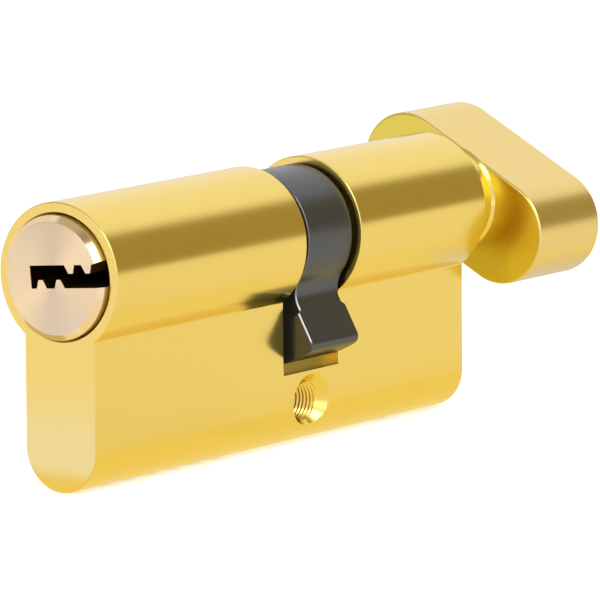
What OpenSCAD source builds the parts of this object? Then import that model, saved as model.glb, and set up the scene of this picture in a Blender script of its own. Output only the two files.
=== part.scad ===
// Euro profile lock cylinder: key plug at one end, thumbturn at the other, cam in the middle.
// Millimetres. The origin is the fixing screw hole's centre, in the middle of the web.
// +X runs along the barrel to the thumbturn, +Z points up, and -Y is the side seen with the key end left.

/* [Profile body] */
// Outside diameter of the barrel
barrel_d = 17; // [16.8:0.1:18]
// Width of the web below the barrel
web_w = 10; // [9:0.1:10.6]
// Height from the top of the barrel to the bottom of the web
profile_h = 33; // [32.6:0.1:36]
// Length from the fixing screw to the key end
key_length = 40; // [38:1:60]
// Length from the fixing screw to the thumbturn end
turn_length = 30; // [26:1:60]

/* [Fixing screw hole] */
// Height of the fixing screw hole above the web's bottom
screw_rise = 5.1; // [4.6:0.1:5.6]
// Tapping diameter of the fixing screw's thread
screw_tap_d = 4.2; // [3.8:0.1:4.6]
// Diameter of the countersink at each mouth of the hole
screw_mouth_d = 6.6; // [5.6:0.1:7]

/* [Cam slot] */
// Length of the slot along the barrel
slot_w = 10.5; // [10.3:0.1:12]
// Drop from the barrel axis to the slot's floor
slot_drop = 15.6; // [15.3:0.1:15.8]

/* [Key plug] */
// Diameter of the plug's body
plug_d = 13; // [12.6:0.1:13.2]
// Diameter of the plug's head
head_d = 14.2; // [13.9:0.1:14.5]
// Depth of the head inside the housing
head_depth = 2.4; // [1.6:0.1:3]
// How far the head stands out of the housing
head_proud = 1.15; // [0.6:0.05:1.6]
// Radial size of the head's chamfer
head_chamfer = 0.75; // [0.3:0.05:0.9]
// Axial size of the head's chamfer
head_chamfer_l = 0.6; // [0.3:0.05:0.6]
// Gap around the head at the housing's face
head_gap = 0.15; // [0.1:0.05:0.25]

/* [Keyway] */
// Height of the keyway's floor from the plug's axis, down
keyway_floor = 1.1; // [0.9:0.05:1.4]
// Height of the keyway's ceiling from the plug's axis, up
keyway_ceiling = 1.5; // [1.3:0.05:1.7]
// Reach of the keyway past the axis, on its closed side
keyway_reach = 3.07; // [2.6:0.01:3.6]
// Lean of the keyway about the axis, in degrees
keyway_lean = 5.5; // [0:0.5:8]
// Height of the wards
ward_h = 0.96; // [0.5:0.02:1.1]
// Width of a ward's foot
ward_w = 1.46; // [1.3:0.02:1.6]
// Place of the floor's first ward from the axis, towards the closed side
floor_ward_1 = 1.6; // [1.4:0.05:1.8]
// Place of the floor's second ward
floor_ward_2 = -1; // [-1.2:0.05:-0.8]
// Place of the ceiling's first ward
ceiling_ward_1 = -2.6; // [-2.8:0.05:-2.4]
// Place of the ceiling's second ward
ceiling_ward_2 = -5.05; // [-5.2:0.05:-4.9]
// How far the ceiling rises at the open edge
mouth_rise = 0.4; // [0:0.05:0.6]

/* [Pin stacks] */
// Number of pin stacks
pin_count = 6; // [6:6]
// Diameter of the pins
pin_d = 2.9; // [2.5:0.05:3.1]
// Distance from the key end to the first stack
pin_first = 7; // [6:0.1:7.4]
// Distance between stacks
pin_pitch = 4; // [3.8:0.05:4.1]
// Length of the driver pins
driver_len = 5.5; // [4:0.1:6.5]
// Wire diameter of the pin springs
spring_wire = 0.36; // [0.25:0.01:0.45]
// Length of the plugs that close the chambers
chamber_plug_len = 2.5; // [1.8:0.1:3]
// Depth of the plugs inside the web's bottom
chamber_plug_inset = 0.4; // [0.3:0.05:0.6]

/* [Cam] */
// Outside diameter of the cam's ring
cam_d = 15.3; // [15:0.1:16]
// Gap from the slot's key-side wall to the ring
ring_gap_key = 1.55; // [1.4:0.05:1.8]
// Gap from the slot's thumbturn-side wall to the ring
ring_gap_turn = 0.65; // [0.5:0.05:0.8]
// Gap from the slot's thumbturn-side wall to the lug's neck
neck_gap_turn = 0.95; // [0.7:0.05:1.2]
// Gap from the slot's key-side wall to the lug
lug_gap_key = 1.05; // [0.3:0.05:1.2]
// Gap from the slot's thumbturn-side wall to the lug
lug_gap_turn = 0.45; // [0.3:0.05:0.6]
// Radius of the lug's tip
lug_tip_r = 15; // [14:0.1:15.1]
// Radius at which the lug becomes wider than the ring
lug_step_r = 10.3; // [10:0.1:11]
// Width of the lug's neck, 1 mm outside the ring
lug_neck_w = 5.94; // [5.4:0.02:6.4]
// Flare of each flank of the lug, in degrees
lug_flare = 9.5; // [7:0.1:11]
// Radius that rounds the lug's corners
lug_corner_r = 1; // [0.5:0.05:1.4]
// Radius of the hollow between the ring and the lug
lug_hollow_r = 2.8; // [1.4:0.1:3]
// Angle of the lug from straight down at rest, in degrees
lug_angle = 20; // [0:1:25]

/* [Coupling] */
// Thickness of the coupling's tongue and wings
tongue_w = 3; // [2.6:0.1:3.2]
// Diameter over the tongue, inside the plug
tongue_d = 10; // [9.4:0.1:10.4]
// Diameter over the wings, inside the cam
wing_d = 11.8; // [11.4:0.1:12]
// Travel of the coupling when a key pushes it
coupling_travel = 2.4; // [2.1:0.1:2.5]
// Diameter of the rotor's boss that carries the cam
boss_d = 8.3; // [8:0.1:8.8]

/* [Circlips] */
// Thickness of a circlip
clip_t = 0.7; // [0.5:0.05:0.75]
// Radial width of a circlip
clip_w = 1.15; // [1:0.05:1.4]
// Opening of a circlip, in degrees
clip_opening = 70; // [50:5:90]

/* [Thumbturn] */
// Diameter of the rotor
rotor_d = 12.5; // [12.3:0.1:12.7]
// Length of the neck between the housing and the knob
neck_len = 4.76; // [2:0.02:8]
// Thickness of the knob along the barrel
knob_t = 12.26; // [12:0.02:16]
// Width of the knob
knob_w = 12.5; // [12.5:0.1:16]
// Length of the knob
knob_l = 28; // [20:0.5:40]
// Angle of the knob from level at rest, in degrees
knob_angle = 27.8; // [0:0.1:90]
// Diameter of the spigot inside the knob
spigot_d = 7; // [6:0.1:8]
// Length of the spigot inside the knob
spigot_len = 9; // [8.5:0.1:10]
// Diameter of the set screw
set_screw_d = 4; // [3:0.5:4]
// Size of the set screw's hexagon across its flats
set_screw_hex = 2; // [1.5:0.5:2]
// Diameter of the friction ball
ball_d = 2.9; // [2.4:0.1:3]
// Distance from the thumbturn end to the friction ball
ball_from_end = 11; // [9:0.5:13]

/* [Fits] */
// Radial clearance of every turning or sliding fit
fit_gap = 0.04; // [0.02:0.01:0.06]
// Clearance of faces that pass each other
face_gap = 0.1; // [0.05:0.05:0.15]

/* [Hidden] */
PIN_PIECES = ["key_pin_", "driver_pin_", "pin_spring_"];
$fn = 64;

gold = "gold";
brass = "burlywood";
steel = "silver";
dark_steel = "dimgray";

barrel_r = barrel_d / 2;
key_end = -key_length;
turn_end = turn_length;
slot_half = slot_w / 2;
web_bottom = barrel_r - profile_h;          // measured from the barrel axis
web_round = web_bottom + web_w / 2;         // centre of the web's round bottom
screw_drop = -web_bottom - screw_rise;      // from the barrel axis to the fixing screw hole

plug_r = plug_d / 2;
head_r = head_d / 2;
clip_side_gap = 0.04;
clip_groove_w = clip_t + 2 * clip_side_gap;
clip_groove_depth = 0.75;
key_clip_x = face_gap - slot_half;
plug_end_gap = 0.2;
ring_key_x = ring_gap_key - slot_half;
ring_turn_x = slot_half - ring_gap_turn;
plug_inner_end = ring_key_x - plug_end_gap;

chamber_r = pin_d / 2 + fit_gap;
chamber_plug_bottom = web_round - sqrt(pow(web_w / 2, 2) - pow(chamber_r, 2)) + chamber_plug_inset;
chamber_plug_top = chamber_plug_bottom + chamber_plug_len;
pin_chamfer = 0.35;
shear_gap = 0.03;                           // each pin stops this far from the shear line
driver_waist = 0.35;                        // how much the driver pin's waist is cut in
coil_gap = 0.12;                            // gap between a spring and its chamber
coil_end_gap = 0.01;                        // gap at each end of a spring
driver_bottom = -plug_r - driver_len;
pin_hole_top = 0.1;                         // the pin holes end this far above the plug's axis
ward_slope = 0.28;                          // sideways run of a ward's flank for each mm of its height
key_cuts = [0.5, 1.0, 0.7, 0.3, 0.9, 0.6];  // depths of the key's dimples above the keyway's floor
key_pin_cone = 0.8;
key_pin_nose_r = 0.5;

cam_r = cam_d / 2;
neck_rise = 1;                              // height above the ring where the neck's width is measured
wing_pocket_depth = 2.2;
wing_t = 1.7;
wing_key_x = ring_key_x + face_gap;
wing_turn_x = wing_key_x + wing_t;
tongue_len = 5;
tongue_key_x = wing_key_x - tongue_len;
boss_key_x = wing_turn_x + coupling_travel + 0.4;
spring_pocket_depth = 4;
coupling_spring_r = 1.7;
coupling_spring_wire = 0.4;

rotor_r = rotor_d / 2;
rotor_flange_w = 0.6;
turn_clip_x = slot_half - face_gap - clip_t;
clip_pocket_r = rotor_r - clip_groove_depth + clip_w + face_gap;
rotor_key_x = turn_clip_x - rotor_flange_w;
knob_face = turn_end + neck_len;
set_screw_seat = spigot_d / 2 - 0.4;
set_screw_x = knob_face + spigot_len / 2;
ball_x = turn_end - ball_from_end;
ball_r = ball_d / 2;
ball_sink = 0.45;                           // how deep the ball sits in the rotor's groove
ball_z = -rotor_r - ball_r + ball_sink;
friction_chamber_r = ball_r + fit_gap;

// x position of pin stack i, counted from 0 at the key end
function stack_x(i) = key_end + pin_first + i * pin_pitch;

// the point where the line through p along the direction way leaves the circle of radius r about the axis
function on_circle(p, way, r) =
    p + (sqrt(pow(p * way, 2) - p * p + pow(r, 2)) - p * way) * way;

// height at which a pin of radius r meets the shear line
function shear_z(r) = -sqrt(pow(plug_r - shear_gap, 2) - pow(r, 2));

// ---------- helpers ----------

// puts a shape on the barrel axis
module on_axis() {
    translate([0, 0, screw_drop]) children();
}

// a 2D shape in (y, z), drawn out along X
module along_x(x0, x1) {
    translate([x0, 0, 0]) rotate([90, 0, 90]) linear_extrude(x1 - x0) children();
}

// a round rod along X
module rod_x(r, x0, x1) {
    translate([x0, 0, 0]) rotate([0, 90, 0]) cylinder(r = r, h = x1 - x0);
}

// a round rod along Z
module rod_z(r, z0, z1) {
    translate([0, 0, z0]) cylinder(r = r, h = z1 - z0);
}

// a bar across the axis, cut to a round outside
module cross_bar(w, d, x0, x1) {
    intersection() {
        rod_x(d / 2, x0, x1);
        translate([x0, -w / 2, -d]) cube([x1 - x0, w, 2 * d]);
    }
}

// a helical spring along Z, with its wire's surface on z0 and z1
module coil(mean_r, wire_d, z0, z1, turns) {
    steps = 10 * turns;
    sides = 6;
    w = wire_d / 2;
    rise = z1 - z0 - wire_d;
    points = [
        for (k = [0:steps], j = [0:sides - 1])
            let (a = 360 * turns * k / steps, b = 360 * j / sides, r = mean_r + w * cos(b))
                [r * cos(a), r * sin(a), z0 + w + rise * k / steps + w * sin(b)]
    ];
    walls = [
        for (k = [0:steps - 1], j = [0:sides - 1])
            let (n = (j + 1) % sides)
                [k * sides + j, (k + 1) * sides + j, (k + 1) * sides + n, k * sides + n]
    ];
    first = [for (j = [0:sides - 1]) j];
    last = [for (j = [sides - 1:-1:0]) steps * sides + j];
    polyhedron(points = points, faces = concat(walls, [first], [last]));
}

// a C-shaped circlip around X, in a groove of radius groove_r
module circlip(groove_r, x0, opening_at) {
    inner = groove_r + fit_gap;
    outer = groove_r + clip_w;
    difference() {
        rod_x(outer, x0, x0 + clip_t);
        rod_x(inner, x0 - 1, x0 + clip_t + 1);
        rotate([opening_at, 0, 0])
            along_x(x0 - 1, x0 + clip_t + 1)
                polygon([
                    [0, 0],
                    [2 * outer * sin(clip_opening / 2), -2 * outer * cos(clip_opening / 2)],
                    [-2 * outer * sin(clip_opening / 2), -2 * outer * cos(clip_opening / 2)]
                ]);
    }
}

// ---------- housing ----------

module euro_profile() {
    circle(r = barrel_r, $fn = 128);
    translate([-web_w / 2, web_round]) square([web_w, -web_round]);
    translate([0, web_round]) circle(r = web_w / 2);
}

module screw_hole() {
    tap_r = screw_tap_d / 2;
    mouth_r = screw_mouth_d / 2;
    mouth_depth = mouth_r - tap_r;
    rotate([90, 0, 0]) {
        cylinder(r = tap_r, h = 2 * web_w, center = true);
        for (side = [0, 1])
            mirror([0, 0, side])
                translate([0, 0, web_w / 2 - mouth_depth])
                    cylinder(r1 = tap_r, r2 = mouth_r + 1, h = mouth_depth + 1);
    }
}

module housing() {
    color(gold) difference() {
        on_axis() difference() {
            along_x(key_end, turn_end) euro_profile();
            // the cam's slot
            translate([-slot_half, -barrel_d, -slot_drop]) cube([slot_w, 2 * barrel_d, 2 * barrel_d]);
            // bores for the plug and the rotor
            rod_x(plug_r + fit_gap, key_end - 1, 0);
            rod_x(head_r + head_gap, key_end - 1, key_end + head_depth + face_gap);
            rod_x(rotor_r + fit_gap, 0, turn_end + 1);
            // chambers for the pins and for the friction ball
            for (i = [0:pin_count - 1])
                translate([stack_x(i), 0, 0]) rod_z(chamber_r, web_bottom - 1, -plug_r + 1);
            translate([ball_x, 0, 0]) rod_z(friction_chamber_r, web_bottom - 1, -rotor_r + 1);
        }
        screw_hole();
    }
}

module chamber_plugs() {
    color(brass) on_axis() {
        for (i = [0:pin_count - 1])
            translate([stack_x(i), 0, 0]) rod_z(chamber_r, chamber_plug_bottom, chamber_plug_top);
        translate([ball_x, 0, 0]) rod_z(friction_chamber_r, chamber_plug_bottom, chamber_plug_top);
    }
}

// ---------- key plug ----------

// trapezoid ward that stands on the line y = 0, with its foot's middle at y
module ward(y) {
    foot = ward_w / 2;
    top = foot - ward_slope * ward_h;
    polygon([
        [y - foot, -ward_h],
        [y + foot, -ward_h],
        [y + foot, 0],
        [y + top, ward_h],
        [y - top, ward_h],
        [y - foot, 0]
    ]);
}

module keyway_outline() {
    mouth = ceiling_ward_2 - ward_w / 2;    // the ceiling rises from here to the open edge
    difference() {
        union() {
            translate([-head_d, -keyway_floor])
                square([head_d + keyway_reach, keyway_floor + keyway_ceiling]);
            polygon([
                [-head_d, 0],
                [mouth, 0],
                [mouth, keyway_ceiling],
                [-head_r, keyway_ceiling + mouth_rise],
                [-head_d, keyway_ceiling + mouth_rise]
            ]);
        }
        translate([0, -keyway_floor]) {
            ward(floor_ward_1);
            ward(floor_ward_2);
        }
        translate([0, keyway_ceiling]) mirror([0, 1]) {
            ward(ceiling_ward_1);
            ward(ceiling_ward_2);
        }
    }
}

module key_plug() {
    head_front = key_end - head_proud;
    color(brass) on_axis() difference() {
        union() {
            rod_x(plug_r, key_end, plug_inner_end);
            rod_x(head_r, head_front + head_chamfer_l, key_end + head_depth);
            translate([head_front, 0, 0]) rotate([0, 90, 0])
                cylinder(r1 = head_r - head_chamfer, r2 = head_r, h = head_chamfer_l);
        }
        // keyway, as far as the coupling's tongue
        rotate([-keyway_lean, 0, 0])
            along_x(head_front - 1, tongue_key_x - face_gap) keyway_outline();
        // holes for the key pins
        for (i = [0:pin_count - 1])
            translate([stack_x(i), 0, 0]) rod_z(chamber_r, -plug_r - 1, pin_hole_top);
        // slot for the coupling's tongue
        cross_bar(tongue_w + 2 * fit_gap, tongue_d + 2 * fit_gap, tongue_key_x - face_gap, 0);
        // groove for the circlip
        difference() {
            rod_x(plug_r + 1, key_clip_x - clip_side_gap, key_clip_x - clip_side_gap + clip_groove_w);
            rod_x(plug_r - clip_groove_depth, key_clip_x - 1, key_clip_x + clip_t + 1);
        }
    }
}

module key_circlip() {
    color(steel) on_axis() circlip(plug_r - clip_groove_depth, key_clip_x, -90);
}

// ---------- pin stacks ----------

// key pin of stack i: nosed on top, chamfered below to stay inside the plug as it turns
module key_pin(i) {
    r = pin_d / 2;
    tip = -keyway_floor + key_cuts[i];
    foot_r = r - 2 * pin_chamfer;
    color(steel) on_axis() translate([stack_x(i), 0, 0])
        rotate_extrude()
            polygon([
                [0, shear_z(foot_r)],
                [foot_r, shear_z(foot_r)],
                [r, shear_z(r)],
                [r, tip - key_pin_cone],
                [key_pin_nose_r, tip],
                [0, tip]
            ]);
}

// driver pin: a spool, with a waist between two full ends
module driver_pin(i) {
    r = pin_d / 2;
    top = -plug_r - shear_gap;
    end_len = 1.1;
    waist_r = r - driver_waist;
    color(steel) on_axis() translate([stack_x(i), 0, 0])
        rotate_extrude()
            polygon([
                [0, driver_bottom],
                [r - pin_chamfer, driver_bottom],
                [r, driver_bottom + pin_chamfer],
                [r, driver_bottom + end_len],
                [waist_r, driver_bottom + end_len + pin_chamfer],
                [waist_r, top - end_len - pin_chamfer],
                [r, top - end_len],
                [r, top - pin_chamfer],
                [r - pin_chamfer, top],
                [0, top]
            ]);
}

module pin_spring(i) {
    mean_r = chamber_r - spring_wire / 2 - coil_gap;
    color(steel) on_axis() translate([stack_x(i), 0, 0])
        coil(mean_r, spring_wire, chamber_plug_top + coil_end_gap, driver_bottom - coil_end_gap, 8);
}

// ---------- coupling and cam ----------

module coupling() {
    seat_r = 2.6;
    seat_t = 0.8;
    color(steel) on_axis() {
        cross_bar(tongue_w, tongue_d, tongue_key_x, wing_turn_x);
        cross_bar(tongue_w, wing_d, wing_key_x, wing_turn_x);
        rod_x(seat_r, wing_turn_x - seat_t, wing_turn_x);
    }
}

module coupling_spring() {
    pocket_end = boss_key_x + spring_pocket_depth;
    color(steel) on_axis() rotate([0, 90, 0])
        coil(coupling_spring_r, coupling_spring_wire,
             wing_turn_x + coil_end_gap, pocket_end - coil_end_gap, 6);
}

// the lug's outline, pointing up from the barrel axis: each side is a hollow, a flared flank and a
// round corner, and the tip is an arc about the axis
module lug_outline() {
    along = [sin(lug_flare), cos(lug_flare)];
    inward = [-cos(lug_flare), sin(lug_flare)];
    foot = [lug_neck_w / 2, cam_r + neck_rise];
    // the hollow's centre is lug_hollow_r outside the flank and outside the ring
    hollow = on_circle(foot - lug_hollow_r * inward, along, cam_r + lug_hollow_r);
    // the corner's centre is lug_corner_r inside the flank and inside the tip's circle
    corner = on_circle(foot + lug_corner_r * inward, along, lug_tip_r - lug_corner_r);
    flank_start = hollow + lug_hollow_r * inward;
    flank_end = corner - lug_corner_r * inward;
    for (side = [0, 1])
        mirror([side, 0]) {
            difference() {
                polygon([
                    [0, 0],
                    hollow * cam_r / (cam_r + lug_hollow_r),
                    hollow,
                    flank_start,
                    [0, flank_start.y]
                ]);
                translate(hollow) circle(r = lug_hollow_r);
            }
            polygon([[0, 0], flank_start, flank_end, corner, [0, corner.y]]);
            translate(corner) circle(r = lug_corner_r, $fn = 32);
            intersection() {
                circle(r = lug_tip_r, $fn = 128);
                polygon([[0, 0], corner * 1.2, [0, 2 * lug_tip_r]]);
            }
        }
}

module cam() {
    color(dark_steel) on_axis() difference() {
        rotate([180 - lug_angle, 0, 0]) {
            along_x(ring_key_x, ring_turn_x) circle(r = cam_r, $fn = 128);
            along_x(ring_key_x, slot_half - neck_gap_turn) lug_outline();
            along_x(lug_gap_key - slot_half, slot_half - lug_gap_turn)
                difference() {
                    lug_outline();
                    circle(r = lug_step_r, $fn = 128);
                }
        }
        // pocket where the wings turn freely
        rod_x(wing_d / 2 + face_gap, ring_key_x - 1, ring_key_x + wing_pocket_depth);
        // bore for the rotor's boss, and the slot for the wings and the rotor's dogs
        rod_x(boss_d / 2 + fit_gap, ring_key_x, ring_turn_x + 1);
        cross_bar(tongue_w + 2 * fit_gap, wing_d + 2 * face_gap, ring_key_x, ring_turn_x + 1);
        // pocket for the rotor's flange and circlip
        rod_x(clip_pocket_r, rotor_key_x - face_gap, ring_turn_x + 1);
    }
}

// ---------- thumbturn ----------

module rotor() {
    color(gold) on_axis() difference() {
        union() {
            rod_x(rotor_r, rotor_key_x, knob_face);
            rod_x(boss_d / 2, boss_key_x, rotor_key_x + 1);
            cross_bar(tongue_w, wing_d, boss_key_x + face_gap, rotor_key_x + 1);
            rod_x(spigot_d / 2, knob_face - 1, knob_face + spigot_len);
        }
        // pocket for the coupling's spring
        rod_x(coupling_spring_r + coupling_spring_wire / 2 + face_gap,
              boss_key_x - 1, boss_key_x + spring_pocket_depth);
        // groove for the circlip
        difference() {
            rod_x(rotor_r + 1, turn_clip_x - clip_side_gap, turn_clip_x - clip_side_gap + clip_groove_w);
            rod_x(rotor_r - clip_groove_depth, turn_clip_x - 1, turn_clip_x + clip_t + 1);
        }
        // groove that the friction ball runs in
        translate([ball_x, 0, 0]) rotate([0, 90, 0])
            rotate_extrude()
                translate([-ball_z, 0]) circle(r = ball_r + fit_gap);
        // flat for the set screw
        rotate([knob_angle, 0, 0])
            translate([knob_face, -spigot_d, -spigot_d - set_screw_seat])
                cube([spigot_len + 1, 2 * spigot_d, spigot_d]);
    }
}

module turn_circlip() {
    color(steel) on_axis() circlip(rotor_r - clip_groove_depth, turn_clip_x, 180);
}

module friction_ball() {
    color(steel) on_axis() translate([ball_x, 0, ball_z]) sphere(r = ball_r);
}

module friction_spring() {
    mean_r = friction_chamber_r - spring_wire / 2 - coil_gap;
    contact = sqrt(pow(ball_r, 2) - pow(mean_r, 2));
    color(steel) on_axis() translate([ball_x, 0, 0])
        coil(mean_r, spring_wire,
             chamber_plug_top + coil_end_gap, ball_z - contact - face_gap, 10);
}

module knob_outline() {
    reach = (knob_l - knob_w) / 2;
    translate([-reach, -knob_w / 2]) square([2 * reach, knob_w]);
    for (side = [-1, 1])
        translate([side * reach, 0]) circle(r = knob_w / 2, $fn = 96);
}

module knob() {
    set_r = set_screw_d / 2;
    color(gold) on_axis() rotate([knob_angle, 0, 0]) difference() {
        along_x(knob_face, knob_face + knob_t) knob_outline();
        rod_x(spigot_d / 2 + fit_gap, knob_face - 1, knob_face + spigot_len + face_gap);
        translate([set_screw_x, 0, 0]) rod_z(set_r + fit_gap, -knob_w, 0);
    }
}

module set_screw() {
    set_r = set_screw_d / 2;
    seat = set_screw_seat + fit_gap;
    outer = knob_w / 2 - 0.3;
    hex_depth = 1.4;
    color(dark_steel) on_axis() rotate([knob_angle, 0, 0]) translate([set_screw_x, 0, 0])
        difference() {
            rod_z(set_r, -outer, -seat);
            translate([0, 0, -outer - 1])
                cylinder(r = set_screw_hex / sqrt(3), h = hex_depth + 1, $fn = 6);
        }
}

housing();
chamber_plugs();
key_plug();
key_circlip();
for (i = [1:pin_count]) {
    key_pin(i - 1);
    driver_pin(i - 1);
    pin_spring(i - 1);
}
coupling();
coupling_spring();
cam();
rotor();
turn_circlip();
friction_ball();
friction_spring();
knob();
set_screw();
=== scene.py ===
"""Looks for a euro profile lock cylinder with a key plug, a cam and a thumbturn.

Shapes are worked out in millimetres from the barrel's axis: +X to the thumbturn, +Z up.
Visible metal is rebuilt with rounded edges. The springs that a joint presses are their CAD coils as
pieces of their own, and the other sealed inner pieces keep their CAD solids.
"""

from math import acos, atan2, cos, pi, radians, sin, sqrt

import bmesh
import bpy
import numpy as np
from mathutils import Matrix, Vector


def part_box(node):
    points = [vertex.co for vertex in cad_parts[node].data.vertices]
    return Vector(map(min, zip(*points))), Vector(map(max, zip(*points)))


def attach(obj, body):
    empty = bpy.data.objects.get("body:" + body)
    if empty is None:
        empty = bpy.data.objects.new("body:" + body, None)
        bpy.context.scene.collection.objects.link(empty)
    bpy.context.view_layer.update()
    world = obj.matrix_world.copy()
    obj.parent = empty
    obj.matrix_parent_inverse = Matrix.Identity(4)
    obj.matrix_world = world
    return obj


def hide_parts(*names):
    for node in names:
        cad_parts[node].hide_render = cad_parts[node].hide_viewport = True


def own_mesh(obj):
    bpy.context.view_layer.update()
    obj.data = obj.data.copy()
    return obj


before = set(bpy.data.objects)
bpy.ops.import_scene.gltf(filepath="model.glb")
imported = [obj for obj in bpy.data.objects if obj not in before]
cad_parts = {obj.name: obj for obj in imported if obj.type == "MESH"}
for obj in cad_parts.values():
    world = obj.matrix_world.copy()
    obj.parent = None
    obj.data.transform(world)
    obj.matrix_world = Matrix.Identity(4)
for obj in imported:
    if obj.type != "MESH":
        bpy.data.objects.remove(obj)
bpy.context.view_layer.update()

# ---------------------------------------------------------------- sizes, in mm

MM = 0.001
housing_lo, housing_hi = (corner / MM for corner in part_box("housing"))
knob_lo, knob_hi = (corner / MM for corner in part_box("knob"))
plug_lo, plug_hi = (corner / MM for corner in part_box("key_plug"))

BARREL_R = (housing_hi.y - housing_lo.y) / 2
AXIS_Z = housing_hi.z - BARREL_R          # height of the barrel's axis in the shared frame
KEY_END, TURN_END = housing_lo.x, housing_hi.x
WEB_HALF = 5.0                            # half the web's width
WEB_BOTTOM = housing_lo.z - AXIS_Z
WEB_ROUND = WEB_BOTTOM + WEB_HALF         # centre of the web's round bottom
SLOT_HALF = 5.25                          # half the cam slot's length
SLOT_FLOOR = -15.6
SCREW_Z = -AXIS_Z                         # the fixing screw's hole is the frame's origin

PLUG_R = 6.5
PLUG_BORE_R = 6.54
HEAD_R = 7.1
HEAD_BORE_R = 7.17
HEAD_FRONT = plug_lo.x
HEAD_BACK = KEY_END + 2.4
PLUG_BACK = plug_hi.x
KEYWAY_END = -8.7                         # where the keyway meets the coupling's slot

ROTOR_R = 6.25
ROTOR_BORE_R = 6.29
SPIGOT_R = 3.5
SPIGOT_LENGTH = 9.0
KNOB_FACE = knob_lo.x
KNOB_END = knob_hi.x
KNOB_HALF = 6.25                          # half the knob's width
KNOB_REACH = 7.75                         # from the knob's axis to the middle of each round end
KNOB_ANGLE = radians(27.8)

CLIP_NEAR, CLIP_FAR = 4.41, 5.19          # sides of both circlip grooves, from the slot's middle
PINS, FIRST_PIN, PIN_PITCH = 6, 7.0, 4.0
PIN_X = [KEY_END + FIRST_PIN + PIN_PITCH * i for i in range(PINS)]
BALL_X = TURN_END - 11.0
CHAMBER_R = 1.49


# ---------------------------------------------------------------- making meshes

CREASE = radians(28)                      # edges bent more than this stay sharp


def to_frame(points):
    """Millimetres from the barrel's axis become metres in the shared frame."""
    return (np.asarray(points, float) + (0, 0, AXIS_Z)) * MM


def new_object(name, data):
    """An object at the origin for this mesh or camera."""
    piece = bpy.data.objects.new(name, data)
    bpy.context.scene.collection.objects.link(piece)
    return piece


def grid_faces(rows, columns, wrap_rows, wrap_columns):
    """Quads of a grid of points, where cell (i, j) joins rows i, i + 1 and columns j, j + 1."""
    i = np.arange(rows if wrap_rows else rows - 1)[:, None]
    j = np.arange(columns if wrap_columns else columns - 1)[None, :]
    i2, j2 = (i + 1) % rows, (j + 1) % columns
    corners = [i * columns + j, i2 * columns + j, i2 * columns + j2, i * columns + j2]
    return np.stack(corners, -1).reshape(-1, 4)


def from_grids(name, grids, wear_and_highlight=None):
    """One closed mesh from grids of points (grid, wrap_rows, wrap_columns), welded where they meet.
    The wear and painted highlight is a number from 0 to 1 for each point of a single grid."""
    points, faces, start = [], [], 0
    for grid, wrap_rows, wrap_columns in grids:
        rows, columns = grid.shape[:2]
        points.append(grid.reshape(-1, 3))
        faces.append(grid_faces(rows, columns, wrap_rows, wrap_columns) + start)
        start += rows * columns
    mesh = bpy.data.meshes.new(name)
    mesh.from_pydata(to_frame(np.concatenate(points)), [], np.concatenate(faces).tolist())
    if wear_and_highlight is not None:
        mesh.attributes.new("wear_and_highlight", "FLOAT", "POINT").data.foreach_set("value", wear_and_highlight.ravel())
    weld(mesh)
    return new_object(name, mesh)


def weld(mesh, distance=2e-6):
    """Merges points that coincide, drops faces without area and turns the faces outwards."""
    bm = bmesh.new()
    bm.from_mesh(mesh)
    bmesh.ops.remove_doubles(bm, verts=bm.verts, dist=distance)
    bmesh.ops.dissolve_degenerate(bm, edges=bm.edges, dist=distance / 4)
    bmesh.ops.recalc_face_normals(bm, faces=bm.faces)
    bm.to_mesh(mesh)
    bm.free()


def around_axis(name, profile, steps=144):
    """A profile of (x, r) points turned about the barrel's axis: (x, r cos a, r sin a).
    Points at r = 0 become poles, and a profile without them closes on itself."""
    profile = np.asarray(profile, float)
    a = np.linspace(0, 2 * pi, steps, endpoint=False)
    x, r = profile[:, :1], profile[:, 1:]
    grid = np.stack([x + 0 * a, r * np.cos(a), r * np.sin(a)], -1)
    closed = profile[0, 1] > 0 and profile[-1, 1] > 0
    return from_grids(name, [(grid, closed, True)])


def rectangle(half, reach):
    """(y, z) corners of a slot's section."""
    return [(-half, -reach), (half, -reach), (half, reach), (-half, reach)]


def turned_yz(x, u, v, angle):
    """Points (x, u, v) turned by the angle about the barrel's axis."""
    return np.stack([x, u * cos(angle) - v * sin(angle), u * sin(angle) + v * cos(angle)], -1)


def prism_x(name, outline, x0, x1):
    """An outline of (y, z) points carried along X from x0 to x1, with flat ends."""
    outline = np.asarray(outline, float)
    mesh = bpy.data.meshes.new(name)
    n = len(outline)
    points = [(x, y, z) for x in (x0, x1) for y, z in outline]
    faces = [list(range(n - 1, -1, -1)), list(range(n, 2 * n))]
    faces += [[i, (i + 1) % n, n + (i + 1) % n, n + i] for i in range(n)]
    mesh.from_pydata(to_frame(points), [], faces)
    weld(mesh)
    return new_object(name, mesh)


def rod_x(name, x0, x1, r, steps=96):
    """A round rod about the barrel's axis, with flat ends."""
    return around_axis(name, [(x0, 0), (x0, r), (x1, r), (x1, 0)], steps)


def rod_z(name, x, r, z0, z1):
    """A round rod along Z at that x, with flat ends."""
    a = np.linspace(0, 2 * pi, 40, endpoint=False)
    levels = [(0, z0), (r, z0), (r, z1), (0, z1)]
    rings = [np.stack([x + q * np.cos(a), q * np.sin(a), z + 0 * a], -1) for q, z in levels]
    return from_grids(name, [(np.array(rings), False, True)])


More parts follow.
